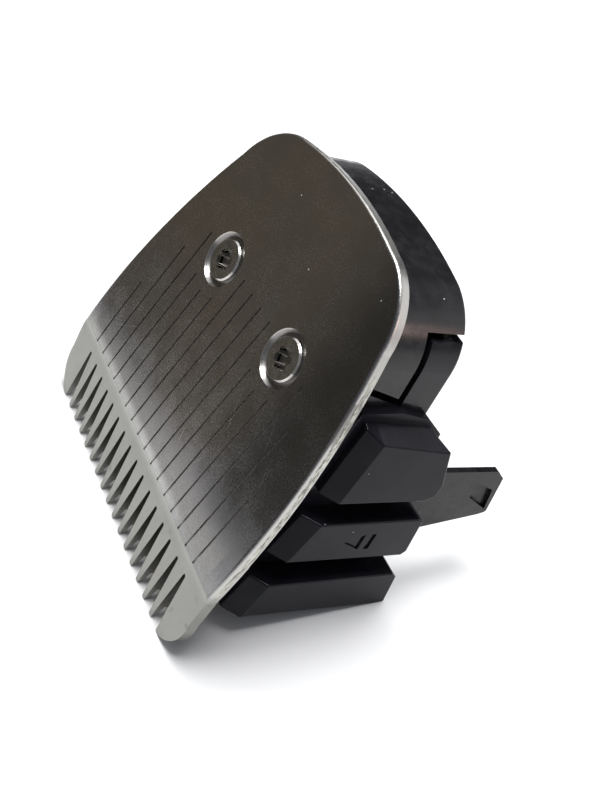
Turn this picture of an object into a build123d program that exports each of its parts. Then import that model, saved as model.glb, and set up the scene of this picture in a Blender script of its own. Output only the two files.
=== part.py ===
from build123d import *
import math
import os

# Detachable cutting head of a hair clipper: a steel comb plate on two six-lobe screws, a toothed
# blade that slides under it, and a black housing with grip ribs and two snap tongues.
#
# Plate frame: X across the head, Y from the tooth tips to the back edge, Z out of the plate's face.
# Housing frame: the same X, and Y and Z turned by HOUSING_TILT, so that Z points back from the
# handle to the plate. A depth into the housing is written as a negative Z.
# Row frame: the head leans on its tooth tips and on the lowest rib of each grip. The origin is the
# middle of its footprint box, on the surface that it stands on.

# ---- driving dimensions, millimetres and degrees ----
PITCH = 2.15
SLIM_TEETH = 15
HOUSING_TILT = 17.0
LEAN = 64.0
FLOOR = -8.92
ROW_SHIFT_Y = -17.29

SHEET = 1.25
BACK_CROWN = 34.46
BACK_HALF = 9.0
BACK_HALF_Y = 33.6
CORNER_MID = (14.05, 31.05)
SIDE_TOP = (15.9, 27.5)
SIDE_MID = (19.1, 16.1)
SIDE_LOW = (20.25, -4.0)
TIP_Y = -8.8
TIP_FACE_Z = -1.9
TIP_UNDER_Z = -2.3
SHEAR_Z = -2.35
SHEAR_END_Y = 2.5
BEND_END_Y = 5.0
FLAT_START_Y = 8.6
BEVEL_START_Z = -0.15
SIDE_MARGIN_X = 16.6
MARGIN_THIN = [(-5.2, SHEAR_Z), (0, BEVEL_START_Z - SHEET), (FLAT_START_Y, -SHEET)]
GAP_ROOT_Y = -1.8
GAP_ROOT = 0.42
TOOTH_TIP = 0.55
RIM_RADIUS = 0.35

GROOVE_WIDTH = 0.24
GROOVE_DEPTH = 0.16
GROOVE_LONG = 20.0
GROOVE_SCREW_CLEAR = 4.15

SCREW_X = 7.63
SCREW_Y = 19.24
DIMPLE_R = 2.94
SEAT_R = 2.5
SEAT_Z = -0.5
HEAD_R = 2.25
HEAD_Z = 0.0
SHANK_R = 1.18
SCREW_END_Z = -9.6
RECESS_R = 1.2
RECESS_DEPTH = 0.65
INSERT_BORE_R = 1.2
INSERT_R = 1.9
INSERT_TOP_Z = -5.0
INSERT_END_Z = -9.2

BLADE_TOP_Z = -2.4
BLADE_THICK = 0.8
BLADE_TIP_Y = -7.3
BLADE_ROOT_Y = -2.9
BLADE_BACK_Y = 9.0
BLADE_HALF = 15.9
BLADE_TOOTH_TIP = 0.5
BLADE_TOOTH_ROOT = 1.3
BLADE_WINDOW = (5.0, 2.6)

GUIDE_FRONT_Y = 9.1
GUIDE_BACK_Y = 12.2
GUIDE_HALF = 12.9
GUIDE_END_Z = -3.2

CARRIER_TOP_Z = -3.25
CARRIER_END_Z = -5.2
CARRIER_HALF = 11.8
STUD_X = 8.0
STUD_Y = 4.2
STUD_R = 0.9

YOKE_HALF = 3.6
YOKE_LOW = 1.6
YOKE_HIGH = 9.4
YOKE_TOP = 8.6
YOKE_END = 14.2
SLOT_HALF = 1.55
SLOT_LOW = 2.8
SLOT_HIGH = 8.2
SLOT_DEPTH = 6.0
LINER_THICK = 0.35

WALL_HALF = 15.1
WALL_BACK = 31.4
WALL = 1.6
FRAME_FRONT = -4.4
FRAME_END = 18.35
FLOOR_THICK = 1.7
STRIP_TOP = 14.15
STRIP_HIGH = 27.1
FRAME_HIGH_Y = 23.3
PARTING_GAP = 0.75
RIM_ROUND = 0.4
SKIRT = 0.8
SKIRT_REACH = 1.5
SKIRT_LOW = 16.5
CAP_ROOF = 1.5
CAP_ROOF_FRONT_Y = 13.2
WINDOW_HALF = 9.0
WINDOW_LOW = -0.8
WINDOW_HIGH = 11.6
BOSS_R = 2.6

RIB_INNER = WALL_HALF
PEG_R = 0.8
PEG_SPOTS = [(-1.6, -12.5), (14.0, -12.5)]
WEB_TOP_Z = -3.75
RIB_FRONT_Z = -6.1
RIB_CHAMFER = 1.55
TOP_RIB_TILT = 8.5
TOP_RIB_TILT_Y = 12.0
RIB_EDGE = 0.2
RIB_OUTER = {"top": 18.2, "middle": 18.5, "bottom": 19.0}
RIB_OUTLINES = {
    "top": [
        (9.8, 0), (18.3, 0), (17.6, -12.0), (16.5, -21.0), (12.1, -22.6), (10.4, -22.6), (9.8, -21.3)
    ],
    "middle": [(2.0, 0), (7.1, 0), (7.45, -22.1), (7.1, -22.8), (2.5, -23.3), (1.9, -22.8)],
    "bottom": [(-5.5, 0), (-0.9, 0), (-0.5, -23.0), (-1.1, -23.7), (-5.5, -24.4)],
}
WEB_THICK = 0.9
WEB_OUTLINE = [(-5, 0), (18.8, 0), (19.6, -14.4), (18.8, -18.1), (17.0, -20.5), (-5, -20.5)]
TOP_RIB_ROOT = [
    (9.8, 0), (19.0, 0), (18.6, -12.0), (18.3, -18.0), (12.1, -22.0), (10.4, -22.0), (9.8, -21.0)
]
MARK_DEPTH = 0.2

TONGUE_INNER = 13.75
TONGUE_OUTER = 14.5
TONGUE_END = 36.6
TONGUE_CORNER_R = 0.4
TONGUE_LOW = 1.4
TONGUE_HIGH = 10.0
CATCH_DEPTH = 0.45
TONGUE_BEAD_R = 0.7
TONGUE_BEAD_DEPTH = 17.0
BEAD_PLAY = 0.06

COIL_X = 11.6
COIL_Y = 14.0
COIL_Z = -8.6
COIL_R = 1.45
COIL_PITCH = 0.64
COIL_TURNS = 3
WIRE_R = 0.3
HEEL_LENGTH = 3.0
ARM_X = 9.6
ARM_Y = 7.2
ARM_Z = CARRIER_END_Z - 0.45
POST_R = 1.05
POST_END = 14.3

SIDES = {"left": -1, "right": 1}


def from_housing(shape):
    """A shape in the housing frame, turned into the plate frame."""
    return Rot(HOUSING_TILT, 0, 0) * shape


def box_between(low, high):
    """The box from corner low to corner high."""
    size = [b - a for a, b in zip(low, high)]
    middle = [(a + b) / 2 for a, b in zip(low, high)]
    return Pos(*middle) * Box(*size)


def side_prism(points, low_x, high_x):
    """Points (Y, Z) joined into an outline and run along X from low_x to high_x."""
    face = make_face(Plane.YZ * Polyline(*points, close=True))
    return Pos(low_x, 0, 0) * extrude(face, high_x - low_x, dir=(1, 0, 0))


def front_prism(points, low_y, high_y):
    """Points (X, Z) joined into an outline and run along Y from low_y to high_y."""
    corners = [(x, low_y, z) for x, z in points]
    face = make_face(Polyline(*corners, close=True))
    return extrude(face, high_y - low_y, dir=(0, 1, 0))


def both_sides(shape):
    """The shape and its mirror image across the middle plane."""
    return shape + mirror(shape, about=Plane.YZ)


def on_side(shape, side):
    """A shape made on the right, or its mirror image on the left."""
    return shape if side > 0 else mirror(shape, about=Plane.YZ)


# ---- steel comb plate ----
def plate_outline():
    """Outline of the comb plate before its teeth are cut: crowned back, bowed sides."""
    crown = ThreePointArc((-BACK_HALF, BACK_HALF_Y), (0, BACK_CROWN), (BACK_HALF, BACK_HALF_Y))
    right = (
        ThreePointArc((BACK_HALF, BACK_HALF_Y), CORNER_MID, SIDE_TOP)
        + ThreePointArc(SIDE_TOP, SIDE_MID, SIDE_LOW)
        + ThreePointArc(SIDE_LOW, (19.4, -7.4), (17.6, TIP_Y))
    )
    tips = Line((-17.6, TIP_Y), (17.6, TIP_Y))
    return make_face(crown + right + mirror(right, about=Plane.YZ) + tips)


def plate_section():
    """Side profile of the plate: flat back, bent front and the ground bevel down to the tips."""
    bend = Spline((FLAT_START_Y, 0), (0, BEVEL_START_Z), tangents=[(-1, 0), (-1, -0.035)])
    profile = (
        Line((TIP_Y, TIP_FACE_Z), (0, BEVEL_START_Z))
        + bend
        + Line((FLAT_START_Y, 0), (BACK_CROWN + 1, 0))
        + Polyline(
            (BACK_CROWN + 1, 0),
            (BACK_CROWN + 1, -SHEET),
            (BEND_END_Y, -SHEET),
            (SHEAR_END_Y, SHEAR_Z),
            (TIP_Y + 0.4, SHEAR_Z),
            (TIP_Y, TIP_UNDER_Z),
            (TIP_Y, TIP_FACE_Z),
        )
    )
    face = make_face(Plane.YZ * profile)
    return Pos(-22, 0, 0) * extrude(face, 44, dir=(1, 0, 0))


def gap_cutter(x):
    """The wedge between two teeth: narrow and round at its root, wide at the tips."""
    tip_half = (PITCH - TOOTH_TIP) / 2
    root_half = GAP_ROOT / 2
    slope = (tip_half - root_half) / (GAP_ROOT_Y - TIP_Y)
    low_half = tip_half + slope * 1.0
    outline = (
        Line((x - low_half, TIP_Y - 1), (x - root_half, GAP_ROOT_Y))
        + ThreePointArc(
            (x - root_half, GAP_ROOT_Y),
            (x, GAP_ROOT_Y + root_half),
            (x + root_half, GAP_ROOT_Y),
        )
        + Line((x + root_half, GAP_ROOT_Y), (x + low_half, TIP_Y - 1))
        + Line((x + low_half, TIP_Y - 1), (x - low_half, TIP_Y - 1))
    )
    return Pos(0, 0, -4) * extrude(make_face(outline), 6)


def groove_end(x):
    """Where the engraved line at x stops: short near the sides, and clear of each screw."""
    beyond = max(0.0, abs(x) / PITCH - 5)
    end = GROOVE_LONG - 0.82 * PITCH * beyond**2
    across = abs(abs(x) - SCREW_X)
    if across < GROOVE_SCREW_CLEAR:
        end = min(end, SCREW_Y - math.sqrt(GROOVE_SCREW_CLEAR**2 - across**2))
    return end


def groove_cutter(x):
    """A narrow engraved line that follows the face from the bevel's start towards the back."""
    half = GROOVE_WIDTH / 2
    bent = min(FLAT_START_Y, groove_end(x))
    outline = [
        (0, 1),
        (0, BEVEL_START_Z - GROOVE_DEPTH),
        (bent / 2, BEVEL_START_Z / 4 - GROOVE_DEPTH),
        (bent, -GROOVE_DEPTH),
        (groove_end(x), -GROOVE_DEPTH),
        (groove_end(x), 1),
    ]
    return side_prism(outline, x - half, x + half)


def gap_positions():
    """Middles of the gaps, half a pitch either side of each slim tooth."""
    return [(i - SLIM_TEETH / 2) * PITCH for i in range(SLIM_TEETH + 1)]


def guard_plate():
    """The fixed comb: outline and side profile together, then gaps, grooves and screw seats."""
    plate = extrude(Pos(0, 0, -5) * plate_outline(), 8) & plate_section()
    rim = plate.edges().filter_by_position(Axis.Z, -0.01, 0.01)
    rim = [e for e in rim if not (abs(e.center().Y - FLAT_START_Y) < 0.2 and e.length > 30)]
    plate = fillet(rim, RIM_RADIUS)
    below = MARGIN_THIN + [(MARGIN_THIN[-1][0], -9), (MARGIN_THIN[0][0], -9)]
    plate -= both_sides(side_prism(below, SIDE_MARGIN_X, 25))
    for x in gap_positions():
        plate -= gap_cutter(x)
        plate -= groove_cutter(x)
    for side in SIDES.values():
        spot = Pos(side * SCREW_X, SCREW_Y, 0)
        dimple = Pos(0, 0, SEAT_Z / 2) * Cone(SEAT_R, DIMPLE_R, -SEAT_Z)
        hole = Pos(0, 0, -SHEET) * Cylinder(SHANK_R + 0.3, 2 * SHEET + 1)
        plate -= spot * dimple + spot * hole
    return plate


# ---- fasteners ----
def six_lobe():
    """Outline of the six-lobe driver recess."""
    star = Circle(RECESS_R)
    for i in range(6):
        star -= Rot(0, 0, 60 * i) * Pos(RECESS_R + 0.08, 0) * Circle(0.34)
    return star


def guard_screw(side):
    """Low-headed machine screw with a six-lobe recess."""
    head = Pos(0, 0, (SEAT_Z + HEAD_Z) / 2) * Cylinder(HEAD_R, HEAD_Z - SEAT_Z)
    head = chamfer(head.edges().group_by(Axis.Z)[-1], 0.16)
    shank = Pos(0, 0, (SEAT_Z + SCREW_END_Z) / 2) * Cylinder(SHANK_R, SEAT_Z - SCREW_END_Z)
    shank = chamfer(shank.edges().group_by(Axis.Z)[0], 0.3)
    screw = head + shank - extrude(Pos(0, 0, HEAD_Z - RECESS_DEPTH) * six_lobe(), 2)
    return Pos(side * SCREW_X, SCREW_Y, 0) * screw


def screw_insert(side):
    """Brass insert that the screw bites into, with two retaining collars."""
    length = INSERT_TOP_Z - INSERT_END_Z
    body = Cylinder(INSERT_R, length)
    for z in (-0.7, 0.7):
        body -= Pos(0, 0, z) * (Cylinder(INSERT_R + 1, 0.5) - Cylinder(INSERT_R - 0.25, 0.5))
    body -= Cylinder(INSERT_BORE_R, length + 1)
    return Pos(side * SCREW_X, SCREW_Y, (INSERT_TOP_Z + INSERT_END_Z) / 2) * body


# ---- moving blade and its carrier ----
def cutter_blade():
    """The sliding toothed blade, one tooth behind each slim tooth of the comb."""
    bottom = BLADE_TOP_Z - BLADE_THICK
    half = BLADE_HALF - 0.6
    blade = box_between((-half, BLADE_ROOT_Y, bottom), (half, BLADE_BACK_Y, BLADE_TOP_Z))
    for i in range(SLIM_TEETH):
        x = (i - (SLIM_TEETH - 1) / 2) * PITCH
        tip, root = BLADE_TOOTH_TIP / 2, BLADE_TOOTH_ROOT / 2
        inside = BLADE_ROOT_Y + 0.5
        points = [
            (x - tip, BLADE_TIP_Y),
            (x + tip, BLADE_TIP_Y),
            (x + root, inside),
            (x - root, inside),
        ]
        tooth = extrude(make_face(Polyline(*points, close=True)), BLADE_THICK)
        blade += Pos(0, 0, bottom) * tooth
    for side in SIDES.values():
        blade -= Pos(side * STUD_X, STUD_Y, bottom) * Cylinder(STUD_R + 0.02, 4)
    blade -= Pos(0, STUD_Y, bottom) * Box(BLADE_WINDOW[0], BLADE_WINDOW[1], 4)
    return blade


def cutter_carrier():
    """Plastic carrier under the blade: a flat bar with a drive yoke standing down from it."""
    bar = box_between(
        (-CARRIER_HALF, -1.0, CARRIER_END_Z), (CARRIER_HALF, BLADE_BACK_Y, CARRIER_TOP_Z)
    )
    bar = fillet(bar.edges().filter_by(Axis.Z), 1.2)
    yoke = from_housing(
        box_between((-YOKE_HALF, YOKE_LOW, -YOKE_END), (YOKE_HALF, YOKE_HIGH, -YOKE_TOP))
    )
    slot = from_housing(
        box_between(
            (-SLOT_HALF, SLOT_LOW, -YOKE_END - 1), (SLOT_HALF, SLOT_HIGH, SLOT_DEPTH - YOKE_END)
        )
    )
    neck = box_between((-YOKE_HALF, 3.9, -8.0), (YOKE_HALF, 8.8, CARRIER_END_Z + 0.1))
    carrier = bar + neck + yoke - slot
    for side in SIDES.values():
        carrier -= Pos(side * STUD_X, STUD_Y, CARRIER_END_Z) * Cylinder(STUD_R + 0.02, 8)
        carrier -= Pos(side * ARM_X, ARM_Y, CARRIER_END_Z) * Box(3.4, 2.4, 0.9)
    return carrier


def yoke_liner():
    """Hard-wearing U-shaped lining of the drive slot."""
    outer = box_between(
        (-SLOT_HALF, SLOT_LOW, 0.6 - YOKE_END), (SLOT_HALF, SLOT_HIGH, SLOT_DEPTH - YOKE_END)
    )
    inner_half = SLOT_HALF - LINER_THICK
    inner = box_between(
        (-inner_half, SLOT_LOW - 1, -YOKE_END),
        (inner_half, SLOT_HIGH + 1, SLOT_DEPTH - YOKE_END - LINER_THICK),
    )
    return from_housing(outer - inner)


def blade_rivet(side):
    """Stud that holds the blade on its carrier, with a flat head under the carrier."""
    low = CARRIER_END_Z - 0.35
    stud = Cylinder(STUD_R, BLADE_TOP_Z - 0.1 - low)
    stud = Pos(0, 0, (low + BLADE_TOP_Z - 0.1) / 2) * stud
    head = Pos(0, 0, low + 0.17) * Cylinder(STUD_R + 0.5, 0.34)
    return Pos(side * STUD_X, STUD_Y, 0) * (stud + head)


def blade_guide_bar():
    """Steel bar fixed under the plate: the blade's back edge slides along it."""
    bar = box_between(
        (-GUIDE_HALF, GUIDE_FRONT_Y, GUIDE_END_Z), (GUIDE_HALF, GUIDE_BACK_Y, -SHEET)
    )
    return chamfer(bar.edges().filter_by(Axis.Z), 0.6)


# ---- housing ----
def housing_outline(inset=0.0):
    """Outline of the housing in its own frame: straight sides, round corners, crowned back."""
    half = WALL_HALF - inset
    back = WALL_BACK - inset
    shoulder = (9.6 - 0.5 * inset, 30.4 - inset)
    corner = (13.6 - 0.75 * inset, 27.95 - 0.75 * inset)
    right = (
        ThreePointArc(shoulder, corner, (half, 23.8 - 0.3 * inset))
        + Line((half, 23.8 - 0.3 * inset), (half, FRAME_FRONT + inset))
    )
    crown = ThreePointArc((-shoulder[0], shoulder[1]), (0, back), shoulder)
    front = Line((-half, FRAME_FRONT + inset), (half, FRAME_FRONT + inset))
    return make_face(crown + right + mirror(right, about=Plane.YZ) + front)


def housing_block():
    """The housing's outline run from above the plate down to its rounded far rim."""
    block = extrude(Pos(0, 0, -FRAME_END) * housing_outline(), FRAME_END + 4)
    return fillet(block.edges().group_by(Axis.Z)[0], RIM_ROUND)


def under(z, low_y=-30, high_y=60):
    """Everything below height z in the plate frame, between two Y values."""
    return box_between((-40, low_y, -60), (40, high_y, z))


def parting_height(z):
    """Housing Y of the cap's lower edge, which stands square to the plate, at housing height z."""
    lean = math.radians(HOUSING_TILT)
    return FRAME_HIGH_Y / math.cos(lean) + z * math.tan(lean)


def parting(gap):
    """What lies on the frame's side of the stepped parting line, as seen from the side."""
    near_plate, at_strip = (parting_height(z) - gap for z in (10, -STRIP_TOP - gap))
    points = [
        (FRAME_FRONT - 5, 10),
        (near_plate, 10),
        (at_strip, -STRIP_TOP - gap),
        (STRIP_HIGH - gap, -STRIP_TOP - gap),
        (STRIP_HIGH - gap, -FRAME_END - 5),
        (FRAME_FRONT - 5, -FRAME_END - 5),
    ]
    return side_prism(points, -40, 40)


def rear_cap():
    """Rear shell: a roof under the plate and a wall that wraps the back and its corners."""
    hollow = extrude(Pos(0, 0, -FRAME_END - 1) * housing_outline(WALL), FRAME_END + 8)
    shell = housing_block() - parting(-PARTING_GAP / 2) - hollow
    shell = from_housing(shell) & under(-SHEET)
    roof = from_housing(extrude(Pos(0, 0, -20) * housing_outline(0.02), 30))
    roof &= box_between((-40, CAP_ROOF_FRONT_Y, -SHEET - CAP_ROOF), (40, 60, -SHEET))
    cap = shell + roof
    for side in SIDES.values():
        cap -= Pos(side * SCREW_X, SCREW_Y, -SHEET) * Cylinder(SHANK_R + 0.1, 8)
    return cap


def base_frame():
    """Open box under the blade: walls, a floor with the drive window, bosses and tongue seats."""
    walls = housing_block() - extrude(
        Pos(0, 0, FLOOR_THICK - FRAME_END) * housing_outline(WALL), FRAME_END + 8
    )
    walls &= parting(PARTING_GAP / 2)
    walls += parting_skirt() + inner_floor()
    window = box_between(
        (-WINDOW_HALF, WINDOW_LOW, -FRAME_END - 1), (WINDOW_HALF, WINDOW_HIGH, -10)
    )
    frame = from_housing(walls - fillet(window.edges().filter_by(Axis.Z), 1.0))
    roof_gap = SHEET + CAP_ROOF + 0.02
    frame &= under(-3.75, high_y=GUIDE_BACK_Y + 0.2) + under(-roof_gap, GUIDE_BACK_Y + 0.2)
    frame -= from_housing(box_between((-40, -20, -8.2), (40, 0, 10)))
    for side in SIDES.values():
        frame = add_boss(frame, side)
        frame -= from_housing(on_side(tongue_seat(), side))
        hole = Rot(0, 90, 0) * Cylinder(POST_R + 0.01, 2.02)
        frame -= Pos(side * (POST_END - 1), COIL_Y, COIL_Z) * hole
        frame -= from_housing(on_side(pegs(PEG_R + 0.01, 1.22), side))
    return frame


def ring(outer_inset, inner_inset):
    """Wall between two insets of the housing's outline, from the roof down to the floor."""
    outer = extrude(Pos(0, 0, -FRAME_END + 0.2) * housing_outline(outer_inset), FRAME_END)
    return outer - extrude(Pos(0, 0, -FRAME_END) * housing_outline(inner_inset), FRAME_END + 4)


def parting_skirt():
    """Inner lip of the frame that closes the stepped parting line from inside."""
    behind = box_between((-40, SKIRT_LOW, -FRAME_END), (40, 60, 10))
    root = ring(WALL - 0.1, WALL + SKIRT) & parting(PARTING_GAP / 2)
    lip = ring(WALL + 0.04, WALL + SKIRT) & parting(-SKIRT_REACH)
    return (root + lip) & behind


def inner_floor():
    """The floor's rear part, which closes the box inside the cap's wall."""
    face = Pos(0, 0, -FRAME_END + 0.3) * housing_outline(WALL + 0.12)
    plate = extrude(face, FLOOR_THICK - 0.3)
    return plate & box_between((-40, SKIRT_LOW, -FRAME_END), (40, 60, 0))


def add_boss(frame, side):
    """A screw boss from the roof down into the floor, bored for its insert."""
    top = -SHEET - CAP_ROOF - 0.02
    boss = Pos(side * SCREW_X, SCREW_Y, (top - 14) / 2) * Cylinder(BOSS_R, 14 + top)
    boss &= from_housing(box_between((-40, -20, -FRAME_END + 0.4), (40, 40, 20)))
    frame += boss
    bore = Cylinder(INSERT_R + 0.01, top - INSERT_END_Z)
    frame -= Pos(side * SCREW_X, SCREW_Y, (INSERT_END_Z + top) / 2) * bore
    return frame - Pos(side * SCREW_X, SCREW_Y, -9.5) * Cylinder(SHANK_R + 0.2, 2.4)


def tongue_seat():
    """Cut-out of the frame's floor and wall in which a tongue's bead turns."""
    middle = (TONGUE_INNER + TONGUE_OUTER) / 2
    low, high = TONGUE_LOW - 0.3, TONGUE_HIGH + 0.3
    bead = Rot(90, 0, 0) * Cylinder(TONGUE_BEAD_R + BEAD_PLAY, high - low)
    mouth = box_between(
        (TONGUE_INNER - 1.3, low, -FRAME_END - 1), (TONGUE_OUTER + 0.1, high, -TONGUE_BEAD_DEPTH)
    )
    return Pos(middle, (low + high) / 2, -TONGUE_BEAD_DEPTH) * bead + mouth


def pegs(radius, length):
    """The two round pegs that locate a grip in the side wall."""
    both = [
        Pos(WALL_HALF - length / 2, y, z) * Rot(0, 90, 0) * Cylinder(radius, length)
        for y, z in PEG_SPOTS
    ]
    return both[0] + both[1]


def rib_envelope(outer):
    """Cross-section of the ribs in the plate frame: a front face, a chamfer and a flat side."""
    points = [
        (RIB_INNER, RIB_FRONT_Z),
        (outer - RIB_CHAMFER, RIB_FRONT_Z),
        (outer, RIB_FRONT_Z - RIB_CHAMFER),
        (outer, -45),
        (RIB_INNER, -45),
    ]
    return front_prism(points, -20, 40)


def rib_block(name):
    """A rib before its front face is cut. The top one is a little larger at its root."""
    outline, outer = RIB_OUTLINES[name], RIB_OUTER[name]
    if name != "top":
        return side_prism(outline, RIB_INNER, outer)
    ends = [
        make_face(Plane.YZ.offset(x) * Polyline(*points, close=True))
        for x, points in ((RIB_INNER, TOP_RIB_ROOT), (outer, outline))
    ]
    return loft(ends, ruled=True)


def rib(name):
    """One finger rib. The front face of the top one leans towards the plate."""
    envelope = rib_envelope(RIB_OUTER[name])
    if name == "top":
        pivot = Pos(0, TOP_RIB_TILT_Y, RIB_FRONT_Z)
        envelope = pivot * Rot(TOP_RIB_TILT, 0, 0) * pivot.inverse() * envelope
    solid = from_housing(rib_block(name)) & envelope
    visible = [e for e in solid.edges() if e.center().X > RIB_INNER + 0.6]
    return fillet(visible, RIB_EDGE)


def side_grip(side):
    """Finger grip: a backing wall and three ribs. The lowest rib is cut flat to stand on."""
    web = side_prism(WEB_OUTLINE, RIB_INNER, RIB_INNER + WEB_THICK)
    grip = from_housing(web) & under(WEB_TOP_Z)
    for name in RIB_OUTLINES:
        grip += rib(name)
    grip += from_housing(pegs(PEG_R, 1.2))
    grip -= from_housing(orientation_mark())
    grip &= stand_space()
    return on_side(grip, side)


def orientation_mark():
    """A small sunk arrow on the middle rib that shows which way the head lifts off."""
    arrow = [(3.4, -16.4), (5.6, -16.4), (4.5, -14.2)]
    bar = [(3.4, -17.7), (5.6, -17.7), (5.6, -17.1), (3.4, -17.1)]
    face = RIB_OUTER["middle"]
    low, high = face - MARK_DEPTH, face + 1
    return side_prism(arrow, low, high) + side_prism(bar, low, high)


def stand_space():
    """The space above the surface that the head stands on, in the plate frame."""
    return Rot(-LEAN, 0, 0) * box_between((-60, -60, FLOOR), (60, 90, 90))


def snap_tongue(side):
    """Flexible tongue that locks the head to its handle, with a bead at its root."""
    middle = (TONGUE_INNER + TONGUE_OUTER) / 2
    low, high, end = TONGUE_LOW, TONGUE_HIGH, TONGUE_END
    points = [
        (low, -TONGUE_BEAD_DEPTH),
        (high, -TONGUE_BEAD_DEPTH),
        (high, -end + 2.4),
        (high - 1.1, -end + 1.0),
        (3.5, -end),
        (3.1, -end + 1.1),
        (low, -end + 8.6),
    ]
    blade = side_prism(points, TONGUE_INNER, TONGUE_OUTER)
    blade = fillet(blade.edges().filter_by(Axis.X), TONGUE_CORNER_R)
    bead = Rot(90, 0, 0) * Cylinder(TONGUE_BEAD_R, high - low)
    tongue = blade + Pos(middle, (low + high) / 2, -TONGUE_BEAD_DEPTH) * bead
    catch = [(8.3, -end + 4.4), (7.1, -end + 1.4), (4.0, -end + 0.6), (6.0, -end + 4.1)]
    tongue -= side_prism(catch, TONGUE_OUTER - CATCH_DEPTH, TONGUE_OUTER + 1)
    return on_side(from_housing(tongue), side)


# ---- pressure springs ----
def arm_angles():
    """Direction of the spring's long arm, and its length, seen along the coil's axis."""
    across, up = ARM_Y - COIL_Y, ARM_Z - COIL_Z
    reach = math.hypot(across, up)
    leave = math.atan2(up, across) - math.acos(COIL_R / reach)
    return leave, math.sqrt(reach**2 - COIL_R**2)


def wire_along(path):
    """Round wire swept along a path."""
    return sweep(Plane(origin=path @ 0, z_dir=path % 0) * Circle(WIRE_R), path, is_frenet=True)


def pressure_spring(side):
    """Torsion spring that presses the carrier and blade against the comb plate."""
    leave, arm = arm_angles()
    turns = COIL_TURNS + leave / (2 * math.pi)
    axis = Plane(origin=(COIL_X, COIL_Y, COIL_Z), x_dir=(0, 1, 0), z_dir=(-1, 0, 0))
    helix = axis.location * Helix(COIL_PITCH, COIL_PITCH * turns, COIL_R, lefthand=True)
    heel = Line(helix @ 0 - HEEL_LENGTH * (helix % 0), helix @ 0)
    tip = Line(helix @ 1, helix @ 1 + arm * (helix % 1))
    wire = wire_along(Wire([helix])) + wire_along(heel) + wire_along(tip)
    return on_side(wire, side)


def spring_post(side):
    """Headed steel pin in the side wall that carries the spring's coil."""
    start = ARM_X - WIRE_R - 0.15
    post = Pos((start + POST_END) / 2, 0, 0) * Rot(0, 90, 0) * Cylinder(POST_R, POST_END - start)
    post += Pos(start - 0.25, 0, 0) * Rot(0, 90, 0) * Cylinder(POST_R + 0.35, 0.5)
    return on_side(Pos(0, COIL_Y, COIL_Z) * post, side)


def in_row_frame(shape):
    """The plate frame stood up, with the footprint's middle at the origin."""
    return Pos(0, ROW_SHIFT_Y, -FLOOR) * Rot(LEAN, 0, 0) * shape


def build():
    """Every node by name, in the plate frame."""
    nodes = {
        "guard_plate": guard_plate(),
        "cutter_blade": cutter_blade(),
        "cutter_carrier": cutter_carrier(),
        "yoke_liner": yoke_liner(),
        "blade_guide_bar": blade_guide_bar(),
        "rear_cap": rear_cap(),
        "base_frame": base_frame(),
    }
    for name, side in SIDES.items():
        nodes[f"guard_screw_{name}"] = guard_screw(side)
        nodes[f"screw_insert_{name}"] = screw_insert(side)
        nodes[f"blade_rivet_{name}"] = blade_rivet(side)
        nodes[f"side_grip_{name}"] = side_grip(side)
        nodes[f"snap_tongue_{name}"] = snap_tongue(side)
        nodes[f"pressure_spring_{name}"] = pressure_spring(side)
        nodes[f"spring_post_{name}"] = spring_post(side)
    return nodes


os.makedirs("parts", exist_ok=True)
for node, shape in build().items():
    export_step(in_row_frame(shape), f"parts/{node}.step")
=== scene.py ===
"""Cutting head of a hair clipper, standing on its tooth tips and lowest finger ribs.

The CAD nodes carry the shape. This script gives them their finish, adds the torn shear band along
the comb plate's edge, and sets up the floor, the lights and the camera.
"""

import math

import bpy
from mathutils import Matrix, Vector, noise


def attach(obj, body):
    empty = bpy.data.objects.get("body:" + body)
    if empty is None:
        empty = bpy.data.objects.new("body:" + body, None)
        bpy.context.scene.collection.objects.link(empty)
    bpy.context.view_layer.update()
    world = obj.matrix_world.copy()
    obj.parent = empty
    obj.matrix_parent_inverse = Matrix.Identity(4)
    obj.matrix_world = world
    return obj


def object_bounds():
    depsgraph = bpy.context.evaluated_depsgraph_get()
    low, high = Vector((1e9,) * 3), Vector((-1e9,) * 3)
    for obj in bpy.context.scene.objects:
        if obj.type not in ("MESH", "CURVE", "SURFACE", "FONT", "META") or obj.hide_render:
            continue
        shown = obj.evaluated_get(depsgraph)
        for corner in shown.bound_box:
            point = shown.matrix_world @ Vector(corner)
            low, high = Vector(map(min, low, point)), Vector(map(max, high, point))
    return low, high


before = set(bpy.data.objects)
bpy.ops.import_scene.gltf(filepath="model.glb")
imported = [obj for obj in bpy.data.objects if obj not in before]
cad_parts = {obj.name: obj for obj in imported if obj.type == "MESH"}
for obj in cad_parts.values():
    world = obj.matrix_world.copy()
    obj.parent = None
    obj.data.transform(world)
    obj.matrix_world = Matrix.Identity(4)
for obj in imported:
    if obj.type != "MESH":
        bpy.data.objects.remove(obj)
cad_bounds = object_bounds()

MM = 0.001

# ---- the comb plate's own frame: X across, Y from the tooth tips back, Z out of the face ----
LEAN = math.radians(64.0)
PLATE_ORIGIN = Vector((0.0, -17.29, 8.92))
SHEET = 1.25
PLATE_SIDE = ((15.9, 27.5), (19.1, 16.1), (20.25, -4.0))
SCREW_PLACE = (7.63, 19.24)
RECESS_REACH = 1.35
GROOVES_HALF = 18.5
GROOVES_END = 22.9
BEVEL_BLEND = 0.35
# Width of the lighter band beside the bevel, partly wear and partly a painted reflection.
WEAR_AND_REFLECTION_WIDTH = 2.4
SCRATCH_ANGLES = (63, -38)

# ---- torn band of the plate's side walls, in mm ----
TORN_STEPS = 420
TORN_ROWS = 9
TORN_TOP = -0.50
TORN_RAGGED = 0.16
TORN_GAP_LOW = 0.10
TORN_SINK = 0.015
TORN_PROUD = 0.045
TORN_START = 3.2
TORN_STOP = 1.0

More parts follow.
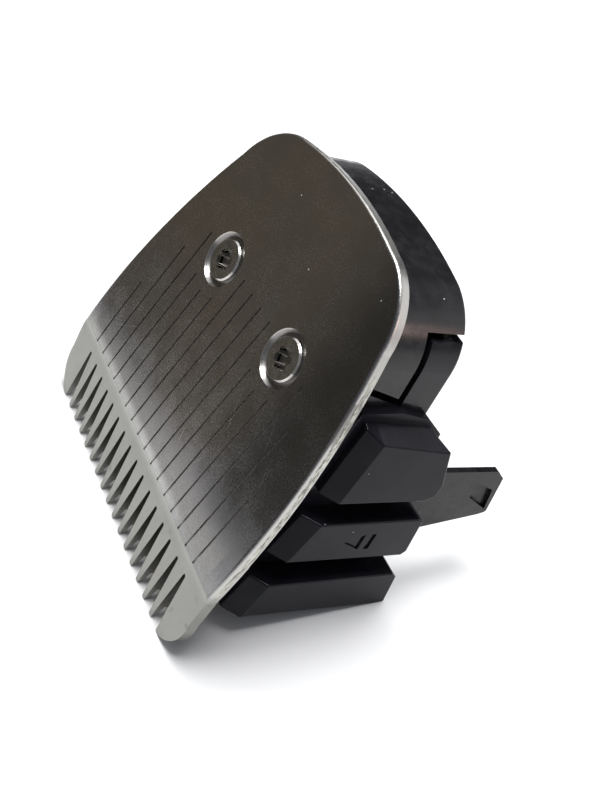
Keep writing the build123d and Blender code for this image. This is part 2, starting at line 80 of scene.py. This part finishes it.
# ---- view ----
VIEW_AZIMUTH = 52.80
VIEW_ELEVATION = 39.41
VIEW_ROLL = 19.90
VIEW_DISTANCE = 109.56 * MM
VIEW_LENS = 47.3
AIM_RIGHT = -1.48 * MM
AIM_UP = -5.21 * MM

# ---- studio ----
FLOOR_RADIUS = 1.2
FLOOR_COLOUR = (0.86, 0.86, 0.86)
ROOM_COLOUR = (0.22, 0.225, 0.245)
MIRRORED_AZIMUTH = 232.0
CARD_HALF = 0.30
CARD_NEAR = 0.075
CARD_FAR = 0.28
CARD_HEIGHT = 0.25
CARD_COLOUR = (0.105, 0.095, 0.080)
REAR_AZIMUTH = 134.0
REAR_HALF = 0.16
REAR_LOW = 0.03
REAR_COLOUR = (0.012, 0.012, 0.016)


# ---- node materials ----
class Surface:
    """A node material with a few helpers. Patterns are laid out in the plate's frame, in mm."""

    def __init__(self, name, colour, roughness, metallic=0.0, gloss=0.5):
        self.material = bpy.data.materials.new(name)
        self.material.use_nodes = True
        self.tree = self.material.node_tree
        self.tree.nodes.clear()
        self.shader = self.add("ShaderNodeBsdfPrincipled")
        output = self.add("ShaderNodeOutputMaterial")
        self.tree.links.new(self.shader.outputs[0], output.inputs["Surface"])
        self.shader.inputs["Base Color"].default_value = (*colour, 1)
        self.shader.inputs["Roughness"].default_value = roughness
        self.shader.inputs["Metallic"].default_value = metallic
        self.shader.inputs["Specular IOR Level"].default_value = gloss
        self.place = self.plate_coordinates()

    def add(self, kind, **settings):
        node = self.tree.nodes.new(kind)
        for key, value in settings.items():
            setattr(node, key, value)
        return node

    def feed(self, socket, value):
        """Sets a socket's value, or links it when value is a socket."""
        if isinstance(value, bpy.types.NodeSocket):
            self.tree.links.new(value, socket)
        elif isinstance(value, tuple) and len(value) == 3 and socket.type == "RGBA":
            socket.default_value = (*value, 1)
        else:
            socket.default_value = value

    def plate_coordinates(self):
        coordinates = self.add("ShaderNodeTexCoord")
        mapping = self.add("ShaderNodeMapping")
        turn = Matrix.Rotation(-LEAN, 3, "X")
        self.feed(mapping.inputs["Vector"], coordinates.outputs["Object"])
        self.feed(mapping.inputs["Location"], tuple(-(turn @ PLATE_ORIGIN)))
        self.feed(mapping.inputs["Rotation"], (-LEAN, 0.0, 0.0))
        self.feed(mapping.inputs["Scale"], (1 / MM, 1 / MM, 1 / MM))
        return mapping.outputs["Vector"]

    def turned(self, angle, stretch):
        """The plate's coordinates turned about Z by angle degrees, then stretched."""
        turn = self.add("ShaderNodeMapping")
        self.feed(turn.inputs["Vector"], self.place)
        self.feed(turn.inputs["Rotation"], (0.0, 0.0, math.radians(angle)))
        scale = self.add("ShaderNodeMapping")
        self.feed(scale.inputs["Vector"], turn.outputs["Vector"])
        self.feed(scale.inputs["Scale"], stretch)
        return scale.outputs["Vector"]

    def noise(self, scale, detail=2.0, vector=None, rough=0.5):
        node = self.add("ShaderNodeTexNoise")
        self.feed(node.inputs["Vector"], vector or self.place)
        self.feed(node.inputs["Scale"], scale)
        self.feed(node.inputs["Detail"], detail)
        self.feed(node.inputs["Roughness"], rough)
        return node.outputs["Fac"]

    def spread(self, value, low, high, to_low=0.0, to_high=1.0, smooth=True):
        """Maps low..high to to_low..to_high, clamped."""
        node = self.add("ShaderNodeMapRange")
        node.interpolation_type = "SMOOTHSTEP" if smooth else "LINEAR"
        for name, item in zip(
            ("Value", "From Min", "From Max", "To Min", "To Max"),
            (value, low, high, to_low, to_high),
        ):
            self.feed(node.inputs[name], item)
        return node.outputs["Result"]

    def math(self, operation, a, b=0.0):
        node = self.add("ShaderNodeMath", operation=operation)
        self.feed(node.inputs[0], a)
        self.feed(node.inputs[1], b)
        return node.outputs[0]

    def mix(self, factor, a, b):
        """Colour a where factor is 0, b where it is 1."""
        node = self.add("ShaderNodeMix", data_type="RGBA")
        self.feed(node.inputs["Factor"], factor)
        self.feed(node.inputs[6], a)
        self.feed(node.inputs[7], b)
        return node.outputs[2]

    def axis(self, index):
        node = self.add("ShaderNodeSeparateXYZ")
        self.feed(node.inputs[0], self.place)
        return node.outputs[index]

    def flecks(self, scale, size, share, vector=None):
        """Small spots, 1 inside: one in each cell of the chosen share of cells."""
        node = self.add("ShaderNodeTexVoronoi")
        self.feed(node.inputs["Vector"], vector or self.place)
        self.feed(node.inputs["Scale"], scale)
        near = self.spread(node.outputs["Distance"], size * 0.6, size, 1.0, 0.0)
        split = self.add("ShaderNodeSeparateColor")
        self.feed(split.inputs[0], node.outputs["Color"])
        chosen = self.math("LESS_THAN", split.outputs[0], share)
        return self.math("MULTIPLY", near, chosen)

    def bump(self, height, strength, distance=0.02):
        """Adds a bump to the shader, on top of any that it has. Distance is in mm."""
        node = self.add("ShaderNodeBump")
        self.feed(node.inputs["Height"], height)
        self.feed(node.inputs["Strength"], strength)
        self.feed(node.inputs["Distance"], distance * MM)
        normal = self.shader.inputs["Normal"]
        if normal.is_linked:
            self.feed(node.inputs["Normal"], normal.links[0].from_socket)
        self.feed(normal, node.outputs["Normal"])

    def colour(self, value):
        self.feed(self.shader.inputs["Base Color"], value)

    def roughness(self, value):
        self.feed(self.shader.inputs["Roughness"], value)


def plate_tones(surface, across, along, ground):
    """Warm satin back; cooler, darker painted shade to the right and lower down; lighter by the
    bevel from wear and painted reflection.
    """
    tint = surface.spread(surface.noise(0.07, 3.0), 0.35, 0.65)
    back = surface.mix(tint, (0.52, 0.485, 0.43), (0.49, 0.475, 0.455))
    # Painted shade: the back darkens towards the right, standing in for a dark reflection.
    back = surface.mix(surface.spread(across, 2.0, 14.0), back, (0.29, 0.29, 0.30))
    # Painted shade: cooler and darker lower down and further to the right, standing in for dark
    # reflections.
    front = surface.mix(surface.spread(along, 13.0, 0.0), back, (0.31, 0.305, 0.315))
    front = surface.mix(surface.spread(across, 9.0, 15.0), front, (0.20, 0.20, 0.205))
    # Lighter band beside the bevel, away from the right side: partly wear, partly a painted
    # reflection.
    wear_and_reflection = surface.spread(along, WEAR_AND_REFLECTION_WIDTH, 0.0)
    wear_and_reflection = surface.math("MULTIPLY", wear_and_reflection, surface.spread(across, 12.0, 4.0))
    front = surface.mix(wear_and_reflection, front, (0.50, 0.50, 0.49))
    stain = surface.spread(surface.noise(0.55, 4.0), 0.62, 0.75)
    bevel = surface.mix(stain, (0.29, 0.29, 0.27), (0.22, 0.22, 0.205))
    return surface.mix(ground, front, bevel)


def groove_mask(surface, across, along, height):
    """1 on the floors of the engraved lines and of the screw seats, which get painted shade."""
    sunken = surface.spread(height, -0.02, -0.09)
    off_middle = surface.math("ABSOLUTE", across)
    within = surface.spread(off_middle, GROOVES_HALF + 0.1, GROOVES_HALF - 0.1)
    within = surface.math(
        "MULTIPLY", within, surface.spread(along, GROOVES_END + 0.1, GROOVES_END - 0.1)
    )
    within = surface.math("MULTIPLY", within, surface.spread(along, 0.6, 1.6))
    return surface.math("MULTIPLY", sunken, within)


def comb_steel():
    """Satin plate, polished back, ground bevel, scuffed rim partly lightened as a painted
    highlight, painted shade in the grooves.
    """
    surface = Surface("comb_steel", (0.5, 0.5, 0.5), 0.25, 1.0)
    across, along, height = (surface.axis(index) for index in range(3))
    ground = surface.spread(along, BEVEL_BLEND, -BEVEL_BLEND)
    # The rim band is lighter and rougher: the roughness is scuffing, the lighter colour partly a
    # painted highlight.
    edge = surface.spread(height, -0.06, -0.25)
    edge = surface.math("MULTIPLY", edge, surface.spread(along, -1.0, 1.0))
    dust = surface.flecks(0.42, 0.045, 0.3)
    metal = plate_tones(surface, across, along, ground)
    metal = surface.mix(edge, metal, (0.52, 0.515, 0.49))
    # Painted shade on the floors of the engraved lines and screw seats.
    groove_shade = groove_mask(surface, across, along, height)
    metal = surface.mix(groove_shade, metal, (0.29, 0.28, 0.27))
    surface.colour(surface.mix(dust, metal, (0.9, 0.9, 0.88)))
    grain = surface.noise(4.5, 2.0)
    rough = surface.spread(grain, 0.3, 0.7, 0.16, 0.24)
    cloud = surface.spread(surface.noise(0.3, 3.0), 0.3, 0.7, 0.0, 0.06)
    rough = surface.math("ADD", rough, cloud)
    for mask, extra in ((ground, 0.16), (edge, 0.12), (dust, 0.5)):
        rough = surface.math("ADD", rough, surface.math("MULTIPLY", mask, extra))
    surface.roughness(rough)
    brushed = surface.noise(2.0, 1.0, surface.turned(0, (0.12, 1.3, 1.0)))
    surface.bump(brushed, 0.05, 0.01)
    surface.bump(grain, 0.015, 0.01)
    for angle in SCRATCH_ANGLES:
        lines = surface.noise(1.0, 1.0, surface.turned(angle, (0.09, 2.6, 0.0)))
        surface.bump(surface.spread(lines, 0.735, 0.76), 0.35, 0.01)
    surface.bump(dust, 0.6, 0.03)
    return surface.material


def torn_steel():
    """Streaky torn metal of the sheared edge."""
    surface = Surface("torn_steel", (0.7, 0.69, 0.64), 0.4, 1.0)
    streaks = surface.noise(1.4, 5.0, surface.turned(0, (1.0, 0.6, 4.0)))
    surface.colour(
        surface.mix(surface.spread(streaks, 0.4, 0.6), (0.56, 0.555, 0.50), (0.25, 0.245, 0.22))
    )
    surface.roughness(surface.spread(streaks, 0.3, 0.7, 0.28, 0.5))
    surface.bump(surface.noise(7.0, 5.0), 0.6, 0.04)
    return surface.material


def recess_mask(surface):
    """1 inside the screws' recesses, below their faces."""
    off_x = surface.math("SUBTRACT", surface.math("ABSOLUTE", surface.axis(0)), SCREW_PLACE[0])
    off_y = surface.math("SUBTRACT", surface.axis(1), SCREW_PLACE[1])
    x_squared = surface.math("MULTIPLY", off_x, off_x)
    y_squared = surface.math("MULTIPLY", off_y, off_y)
    away = surface.math("ADD", x_squared, y_squared)
    inside = surface.math("LESS_THAN", away, RECESS_REACH**2)
    return surface.math("MULTIPLY", inside, surface.spread(surface.axis(2), -0.02, -0.12))


def machined_steel(name, colour, roughness, grain=14.0, recessed=False):
    """Turned or stamped small steel parts. Recessed ones get painted shade inside the recess."""
    surface = Surface(name, colour, roughness, 1.0)
    fine = surface.noise(grain, 4.0)
    darker = tuple(0.72 * c for c in colour)
    metal = surface.mix(surface.spread(surface.noise(1.1, 3.0), 0.35, 0.7), colour, darker)
    if recessed:
        # Painted shade inside the screw recess.
        metal = surface.mix(recess_mask(surface), metal, (0.30, 0.29, 0.27))
    surface.colour(metal)
    surface.roughness(surface.spread(fine, 0.3, 0.7, roughness * 0.8, roughness * 1.3))
    surface.bump(fine, 0.15, 0.01)
    return surface.material


def blade_steel():
    """Warm, finely ground steel of the sliding blade."""
    surface = Surface("blade_steel", (0.40, 0.36, 0.25), 0.32, 1.0)
    lines = surface.noise(3.0, 3.0, surface.turned(0, (0.3, 8.0, 1.0)))
    surface.colour(
        surface.mix(surface.spread(lines, 0.35, 0.65), (0.42, 0.37, 0.26), (0.34, 0.30, 0.21))
    )
    surface.roughness(surface.spread(lines, 0.3, 0.7, 0.26, 0.4))
    surface.bump(lines, 0.2, 0.01)
    return surface.material


def moulded(name, colour, roughness, gloss=0.5, dust_share=0.25):
    """Moulded plastic: faint orange peel, flow clouds, fine scuffs and specks of dust."""
    surface = Surface(name, colour, roughness, gloss=gloss)
    cloud = surface.spread(surface.noise(0.25, 3.0), 0.35, 0.7)
    lighter = tuple(1.5 * c for c in colour)
    dust = surface.flecks(0.55, 0.05, dust_share)
    plain = surface.mix(cloud, colour, lighter)
    surface.colour(surface.mix(dust, plain, (0.5, 0.5, 0.5)))
    peel = surface.noise(3.5, 2.0)
    scuff = surface.flecks(1.0, 0.04, 0.16, surface.turned(28, (0.3, 2.2, 0.6)))
    rough = surface.spread(surface.noise(0.8, 4.0), 0.3, 0.7, roughness * 0.8, roughness * 1.4)
    rough = surface.math("ADD", rough, surface.math("MULTIPLY", scuff, 0.12))
    surface.roughness(surface.math("ADD", rough, surface.math("MULTIPLY", dust, 0.4)))
    surface.bump(peel, 0.06, 0.02)
    surface.bump(surface.noise(22.0, 2.0), 0.05, 0.01)
    surface.bump(dust, 0.5, 0.03)
    return surface.material


def paint_nodes():
    """Gives every CAD node its finish, by the record's material slot."""
    finish = {
        "comb_steel": comb_steel(),
        "blade_steel": blade_steel(),
        "screw_steel": machined_steel("screw_steel", (0.60, 0.59, 0.56), 0.20, recessed=True),
        "rivet_steel": machined_steel("rivet_steel", (0.58, 0.57, 0.54), 0.28),
        "insert_brass": machined_steel("insert_brass", (0.78, 0.57, 0.25), 0.30),
        "spring_steel": machined_steel("spring_steel", (0.50, 0.49, 0.47), 0.25, 8.0),
        "carrier_plastic": moulded("carrier_plastic", (0.20, 0.20, 0.195), 0.42, 0.5, 0.05),
        "liner_plastic": moulded("liner_plastic", (0.62, 0.60, 0.53), 0.38, 0.5, 0.05),
        "housing_black": moulded("housing_black", (0.007, 0.007, 0.009), 0.20, 0.30),
        "grip_black": moulded("grip_black", (0.008, 0.008, 0.011), 0.16, 0.11),
        "tongue_black": moulded("tongue_black", (0.007, 0.007, 0.008), 0.28, 0.24),
    }
    cap = moulded("cap_black", (0.009, 0.009, 0.010), 0.22, 0.42, 0.5)
    for name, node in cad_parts.items():
        slot_name = node.data.materials[0].name.split(".")[0]
        node.data.materials[0] = cap if name == "rear_cap" else finish[slot_name]


# ---- detail pieces ----
def on_plate(x, y, z):
    """A point of the plate's frame, in mm, as a point of the row frame, in metres."""
    return (Matrix.Rotation(LEAN, 3, "X") @ Vector((x, y, z)) + PLATE_ORIGIN) * MM


def circle_through(a, b, c):
    """Centre and radius of the circle through three points of the plane."""
    ax, ay, bx, by, cx, cy = *a, *b, *c
    d = 2 * (ax * (by - cy) + bx * (cy - ay) + cx * (ay - by))
    a2, b2, c2 = ax * ax + ay * ay, bx * bx + by * by, cx * cx + cy * cy
    x = (a2 * (by - cy) + b2 * (cy - ay) + c2 * (ay - by)) / d
    y = (a2 * (cx - bx) + b2 * (ax - cx) + c2 * (bx - ax)) / d
    return Vector((x, y)), math.hypot(ax - x, ay - y)


def torn_edge(side):
    """The torn part of the plate's sheared side wall: a ragged band, thicker in places."""
    name = "torn_edge_right" if side > 0 else "torn_edge_left"
    centre, radius = circle_through(*PLATE_SIDE)
    first = math.atan2(PLATE_SIDE[2][1] + TORN_START - centre.y, PLATE_SIDE[2][0] - centre.x)
    last = math.atan2(PLATE_SIDE[0][1] - TORN_STOP - centre.y, PLATE_SIDE[0][0] - centre.x)
    steps, rows = TORN_STEPS, TORN_ROWS
    reach = cad_bounds[1].x / MM + 0.01
    points, faces = [], []
    for i in range(steps + 1):
        angle = first + (last - first) * i / steps
        outward = Vector((math.cos(angle), math.sin(angle)))
        base = centre + radius * outward
        fade = min(1.0, 8.0 * min(i, steps - i) / steps)
        seed = Vector((base.y * 0.9, 3.0 * side, 0.0))
        ragged = noise.fractal(seed, 0.7, 2.2, 4)
        top = TORN_TOP + TORN_RAGGED * ragged
        low = -SHEET + TORN_GAP_LOW + 0.06 * noise.noise(seed * 2.3 + Vector((0, 0, 7)))
        for j in range(rows + 1):
            part = j / rows
            z = top + (low - top) * part
            swell = max(0.0, math.sin(math.pi * part)) ** 0.6
            grit = noise.fractal(Vector((base.y * 2.4, z * 3.2, side)), 0.6, 2.1, 5)
            proud = -TORN_SINK + fade * swell * TORN_PROUD * (1.0 + grit)
            spot = base + outward * proud
            points.append(on_plate(side * min(spot.x, reach), spot.y, z))
    for i in range(steps):
        for j in range(rows):
            a = i * (rows + 1) + j
            quad = (a, a + 1, a + rows + 2, a + rows + 1)
            faces.append(quad if side > 0 else quad[::-1])
    mesh = bpy.data.meshes.new(name)
    mesh.from_pydata(points, [], faces)
    mesh.shade_smooth()
    band = bpy.data.objects.new(name, mesh)
    bpy.context.scene.collection.objects.link(band)
    band.data.materials.append(torn)
    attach(band, "head")


# ---- studio ----
def floor():
    bpy.ops.mesh.primitive_circle_add(vertices=96, radius=FLOOR_RADIUS, fill_type="NGON")
    ground = bpy.context.object
    ground.name = "floor"
    material = bpy.data.materials.new("floor")
    material.use_nodes = True
    shader = material.node_tree.nodes["Principled BSDF"]
    shader.inputs["Base Color"].default_value = (*FLOOR_COLOUR, 1)
    shader.inputs["Roughness"].default_value = 0.9
    shader.inputs["Specular IOR Level"].default_value = 0.0
    ground.data.materials.append(material)


def direction(azimuth, elevation):
    """Unit vector towards an azimuth from +X and an elevation, in degrees."""
    a, e = math.radians(azimuth), math.radians(elevation)
    return Vector((math.cos(a) * math.cos(e), math.sin(a) * math.cos(e), math.sin(e)))


def soft_light(name, azimuth, elevation, distance, size, power, colour=(1, 1, 1), fills=True):
    """A soft box that faces the object's middle. One that doesn't fill shows in gloss only."""
    data = bpy.data.lights.new(name, "AREA")
    data.shape = "RECTANGLE"
    data.size, data.size_y = size
    data.energy = power
    data.color = colour
    light = bpy.data.objects.new(name, data)
    towards = direction(azimuth, elevation)
    light.location = middle + towards * distance
    light.rotation_euler = towards.to_track_quat("Z", "Y").to_euler()
    light.visible_diffuse = fills
    bpy.context.scene.collection.objects.link(light)


def dark_card(name, corners, colour):
    """A black card beside the set, seen only in reflections, that keeps the plate dark."""
    mesh = bpy.data.meshes.new(name)
    mesh.from_pydata(corners, [], [(0, 1, 2, 3)])
    card = bpy.data.objects.new(name, mesh)
    bpy.context.scene.collection.objects.link(card)
    material = bpy.data.materials.new(name)
    material.use_nodes = True
    shader = material.node_tree.nodes["Principled BSDF"]
    shader.inputs["Base Color"].default_value = (0, 0, 0, 1)
    shader.inputs["Roughness"].default_value = 1.0
    shader.inputs["Specular IOR Level"].default_value = 0.0
    shader.inputs["Emission Color"].default_value = (*colour, 1)
    shader.inputs["Emission Strength"].default_value = 1.0
    mesh.materials.append(material)
    card.visible_camera = False
    card.visible_diffuse = False
    card.visible_shadow = False


def dark_cards():
    """Cards that keep mirrored parts of the room dark.

    One lies on the floor and one stands behind it, in the direction the plate mirrors. The rear
    one hangs where the upper faces of the ribs mirror.
    """
    towards = direction(MIRRORED_AZIMUTH, 0)
    sideways = Vector((-towards.y, towards.x, 0)) * CARD_HALF
    near, far = towards * CARD_NEAR, towards * CARD_FAR
    lift = Vector((0, 0, 0.0002))
    flat = [near - sideways, near + sideways, far + sideways, far - sideways]
    dark_card("floor_card", [corner + lift for corner in flat], CARD_COLOUR)
    up = Vector((0, 0, CARD_HEIGHT))
    standing = [far - sideways, far + sideways, far + sideways + up, far - sideways + up]
    dark_card("standing_card", standing, CARD_COLOUR)
    towards = direction(REAR_AZIMUTH, 0)
    sideways = Vector((-towards.y, towards.x, 0)) * REAR_HALF
    low = towards * CARD_FAR + Vector((0, 0, REAR_LOW))
    high = towards * CARD_FAR + up
    rear = [low - sideways, low + sideways, high + sideways, high - sideways]
    dark_card("rear_card", rear, REAR_COLOUR)


def room():
    world = bpy.data.worlds.new("room")
    world.use_nodes = True
    background = world.node_tree.nodes["Background"]
    background.inputs["Color"].default_value = (*ROOM_COLOUR, 1)
    bpy.context.scene.world = world
    bpy.context.scene.view_settings.view_transform = "Standard"


def camera():
    turn = (
        Matrix.Rotation(math.radians(VIEW_AZIMUTH), 4, "Z")
        @ Matrix.Rotation(math.radians(90 - VIEW_ELEVATION), 4, "X")
        @ Matrix.Rotation(math.radians(VIEW_ROLL), 4, "Z")
    )
    right, up, backward = (turn.to_3x3().col[i] for i in range(3))
    aim = middle + right * AIM_RIGHT + up * AIM_UP
    data = bpy.data.cameras.new("camera")
    data.lens = VIEW_LENS
    data.clip_start = 0.005
    view = bpy.data.objects.new("camera", data)
    view.matrix_world = Matrix.Translation(aim + backward * VIEW_DISTANCE) @ turn
    bpy.context.scene.collection.objects.link(view)
    bpy.context.scene.camera = view


middle = (cad_bounds[0] + cad_bounds[1]) / 2
camera()
room()
floor()
dark_cards()
soft_light("overhead", azimuth=150, elevation=80, distance=0.55, size=(0.32, 0.32), power=4.7)
for name, azimuth, elevation, distance, size, power, colour in (
    ("window", 78, 20, 0.5, (0.48, 0.3), 0.42, (1, 1, 1)),
    ("high_window", 158, 46, 0.5, (0.42, 0.2), 0.3, (1, 1, 1)),
    ("warm_glint", 41, 20, 0.4, (0.1, 0.1), 0.15, (1.0, 0.72, 0.66)),
):
    soft_light(name, azimuth, elevation, distance, size, power, colour, fills=False)

torn = torn_steel()
paint_nodes()
for side in (-1, 1):
    torn_edge(side)
